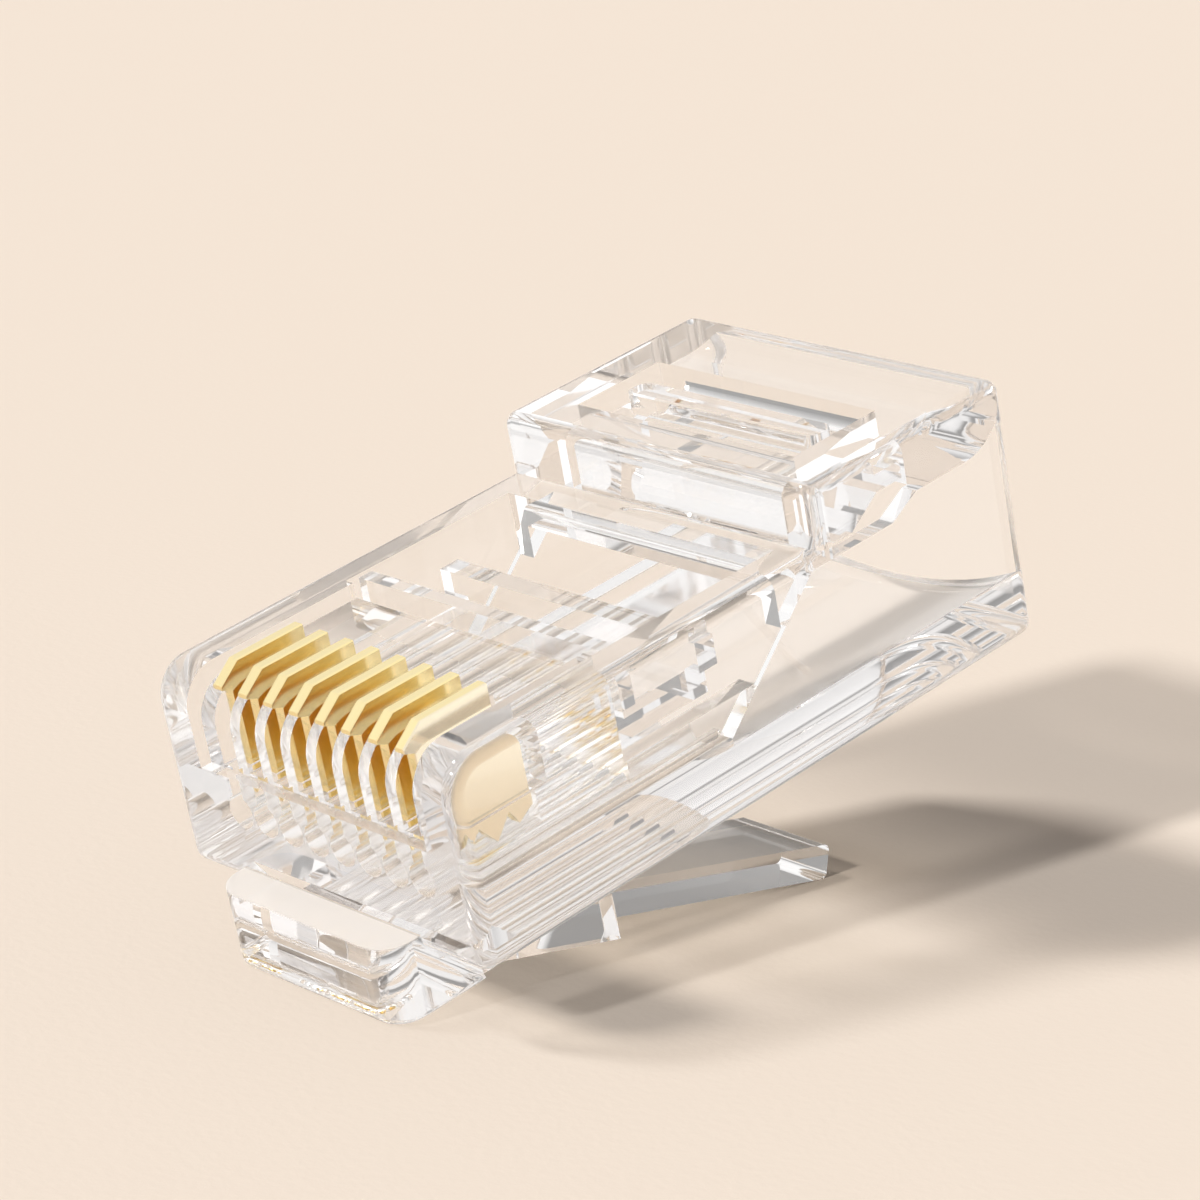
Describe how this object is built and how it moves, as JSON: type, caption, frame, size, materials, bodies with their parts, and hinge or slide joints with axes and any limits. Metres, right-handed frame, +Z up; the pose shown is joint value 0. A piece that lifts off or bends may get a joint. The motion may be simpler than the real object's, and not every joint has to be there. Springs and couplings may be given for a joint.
{
  "type": "modular plug",
  "caption": "Clear uncrimped modular plug: gold blade contacts over wire channels, a cable cavity, hinged strain-relief anchors and a sprung latch under the nose.",
  "frame": {"origin": "on the table, under the middle of the plug's length and width as it rests", "axes": "+X from the nose towards the cable entry, +Z up from the table, +Y across the plug; the plug's own axis climbs 15.64 degrees towards +X"},
  "size_m": [0.021, 0.0116, 0.0147],
  "materials": {
    "clear_polycarbonate": "polished, water clear",
    "gold_plated_contact": "smooth gold plating"
  },
  "bodies": {
    "housing": {"housing": "clear_polycarbonate"},
    "latch": {"latch": "clear_polycarbonate"},
    "conductor_anchor": {"conductor_anchor": "clear_polycarbonate"},
    "jacket_anchor": {"jacket_anchor": "clear_polycarbonate"},
    "contact_1": {"contact_1": "gold_plated_contact"},
    "contact_2": {"contact_2": "gold_plated_contact"},
    "contact_3": {"contact_3": "gold_plated_contact"},
    "contact_4": {"contact_4": "gold_plated_contact"},
    "contact_5": {"contact_5": "gold_plated_contact"},
    "contact_6": {"contact_6": "gold_plated_contact"},
    "contact_7": {"contact_7": "gold_plated_contact"},
    "contact_8": {"contact_8": "gold_plated_contact"}
  },
  "joints": [
    {"name": "latch_hinge", "type": "hinge", "parent": "housing", "child": "latch", "pos_m": [-0.00638, 0, 0.00145], "axis": [0, -1, 0], "range_deg": [0, 16], "stiffness_Nm_per_rad": 0.337},
    {"name": "conductor_anchor_hinge", "type": "hinge", "parent": "housing", "child": "conductor_anchor", "pos_m": [-0.00396, 0, 0.00654], "axis": [0, 1, 0], "range_deg": [0, 15]},
    {"name": "jacket_anchor_hinge", "type": "hinge", "parent": "housing", "child": "jacket_anchor", "pos_m": [0.00603, 0, 0.01219], "axis": [0, -1, 0], "range_deg": [0, 17]},
    {"name": "contact_1_travel", "type": "slide", "parent": "housing", "child": "contact_1", "axis": [0.2696, 0, -0.963], "range_m": [0, 0.00085]},
    {"name": "contact_2_travel", "type": "slide", "parent": "housing", "child": "contact_2", "axis": [0.2696, 0, -0.963], "range_m": [0, 0.00085]},
    {"name": "contact_3_travel", "type": "slide", "parent": "housing", "child": "contact_3", "axis": [0.2696, 0, -0.963], "range_m": [0, 0.00085]},
    {"name": "contact_4_travel", "type": "slide", "parent": "housing", "child": "contact_4", "axis": [0.2696, 0, -0.963], "range_m": [0, 0.00085]},
    {"name": "contact_5_travel", "type": "slide", "parent": "housing", "child": "contact_5", "axis": [0.2696, 0, -0.963], "range_m": [0, 0.00085]},
    {"name": "contact_6_travel", "type": "slide", "parent": "housing", "child": "contact_6", "axis": [0.2696, 0, -0.963], "range_m": [0, 0.00085]},
    {"name": "contact_7_travel", "type": "slide", "parent": "housing", "child": "contact_7", "axis": [0.2696, 0, -0.963], "range_m": [0, 0.00085]},
    {"name": "contact_8_travel", "type": "slide", "parent": "housing", "child": "contact_8", "axis": [0.2696, 0, -0.963], "range_m": [0, 0.00085]}
  ]
}
